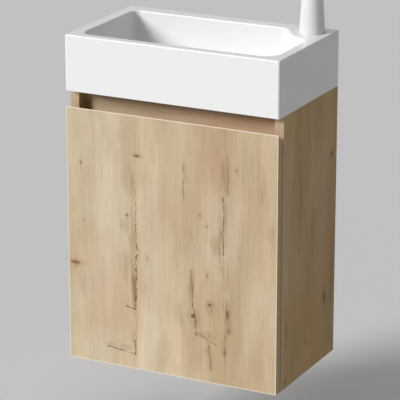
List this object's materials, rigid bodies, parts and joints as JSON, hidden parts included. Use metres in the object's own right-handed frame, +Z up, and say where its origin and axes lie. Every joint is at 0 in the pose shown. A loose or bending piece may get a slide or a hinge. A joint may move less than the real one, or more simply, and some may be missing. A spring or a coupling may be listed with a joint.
{
  "type": "vanity unit with basin",
  "caption": "Wall-hung cloakroom vanity: rectangular basin with a corner tap on a one-door oak cabinet with a grip gap under the rim.",
  "frame": {"origin": "centre of the four wall-plate holes, on the wall plane", "axes": "+Y into the wall, +Z up, +X to the right seen from the front"},
  "size_m": [0.4, 0.271, 0.715],
  "materials": {
    "basin_white": "smooth white, satin gloss",
    "oak_decor": "light wild-oak decor on board, matt, vertical grain",
    "oak_band": "oak decor edge band, matt",
    "oak_rail": "oak decor, matt, grain along the width",
    "beech": "plain beech",
    "zinc": "zinc-plated steel",
    "nickel": "nickel-plated steel",
    "steel_pin": "nickel-plated steel peg",
    "hanger_plastic": "white moulded plastic",
    "silicone": "white sealant",
    "clear_pad": "soft translucent pad",
    "waste_chrome": "polished chrome",
    "seal_rubber": "black rubber",
    "brass_nut": "plain brass",
    "trap_plastic": "white moulded plastic",
    "tap_white": "white powder coat, smooth",
    "cartridge_plastic": "moulded plastic",
    "aerator_plastic": "moulded plastic with a metal rim"
  },
  "bodies": {
    "cabinet": {"washbasin": "basin_white", "side_panel_left": "oak_decor", "side_panel_right": "oak_decor", "bottom_panel": "oak_decor", "grip_rail": "oak_rail", "back_rail_top": "oak_rail", "back_rail_bottom": "oak_rail", "carcass_edge_bands": "oak_band", "shelf": "oak_decor", "shelf_edge_band": "oak_band", "shelf_pins": "steel_pin", "wood_dowels": "beech", "cam_housings": "zinc", "cam_bolts": "zinc", "silicone_bead": "silicone", "hanger_housings": "hanger_plastic", "hanger_hooks": "zinc", "hanger_screws": "zinc", "wall_plates": "zinc", "hinge_plates": "nickel", "hinge_plate_screws": "nickel", "hinge_arms": "nickel", "hinge_clamp_screws": "nickel", "waste_flange": "waste_chrome", "waste_top_seal": "seal_rubber", "waste_bottom_seal": "seal_rubber", "waste_backnut": "brass_nut", "trap_union_nut": "trap_plastic", "trap_inlet_tube": "trap_plastic", "trap_head": "trap_plastic", "trap_top_nut": "trap_plastic", "trap_outlet_nut": "trap_plastic", "trap_seals": "seal_rubber", "trap_cup": "trap_plastic", "trap_outlet_pipe": "trap_plastic", "wall_rosette": "trap_plastic", "tap_body": "tap_white", "tap_base_seal": "seal_rubber", "tap_aerator": "aerator_plastic", "tap_cartridge": "cartridge_plastic", "tap_dome_ring": "tap_white", "tap_stud": "zinc", "tap_rubber_washer": "seal_rubber", "tap_horseshoe": "zinc", "tap_nut": "brass_nut"},
    "hinge_outer_links": {"hinge_outer_links": "nickel"},
    "hinge_inner_links": {"hinge_inner_links": "nickel"},
    "door": {"door_panel": "oak_decor", "door_edge_bands": "oak_band", "door_bumpers": "clear_pad", "hinge_cups": "nickel", "hinge_cup_pins": "steel_pin", "hinge_cup_screws": "nickel"},
    "waste_plug": {"waste_plug": "waste_chrome"},
    "tap_swivel": {"tap_stem_carrier": "brass_nut"},
    "tap_lever": {"tap_lever": "tap_white"}
  },
  "joints": [
    {"name": "hinge_outer_link_swing", "type": "hinge", "parent": "cabinet", "child": "hinge_outer_links", "pos_m": [-0.15724, -0.20363, -0.2095], "axis": [0, 0, 1], "range_deg": [0, 24.71]},
    {"name": "hinge_inner_link_swing", "type": "hinge", "parent": "cabinet", "child": "hinge_inner_links", "pos_m": [-0.16604, -0.22779, -0.2095], "axis": [0, 0, 1], "range_deg": [0, 54.16]},
    {"name": "door_swing", "type": "hinge", "parent": "hinge_outer_links", "child": "door", "pos_m": [-0.18803, -0.22167, -0.2095], "axis": [0, 0, -1], "range_deg": [0, 119.7]},
    {"name": "waste_plug_lift", "type": "slide", "parent": "cabinet", "child": "waste_plug", "axis": [0, 0, 1], "range_m": [0, 0.008]},
    {"name": "lever_turn", "type": "hinge", "parent": "cabinet", "child": "tap_swivel", "pos_m": [0.166, -0.036, 0.247], "axis": [0, 0, 1], "range_deg": [-45, 45]},
    {"name": "lever_lift", "type": "hinge", "parent": "tap_swivel", "child": "tap_lever", "pos_m": [0.166, -0.036, 0.247], "axis": [-0.4621, 0.8868, 0], "range_deg": [0, 22]}
  ],
  "couplings": [
    {"joint": "hinge_outer_link_swing", "follows": "door_swing", "ratio": 0.20635},
    {"joint": "hinge_inner_link_swing", "follows": "door_swing", "ratio": 0.45238}
  ]
}
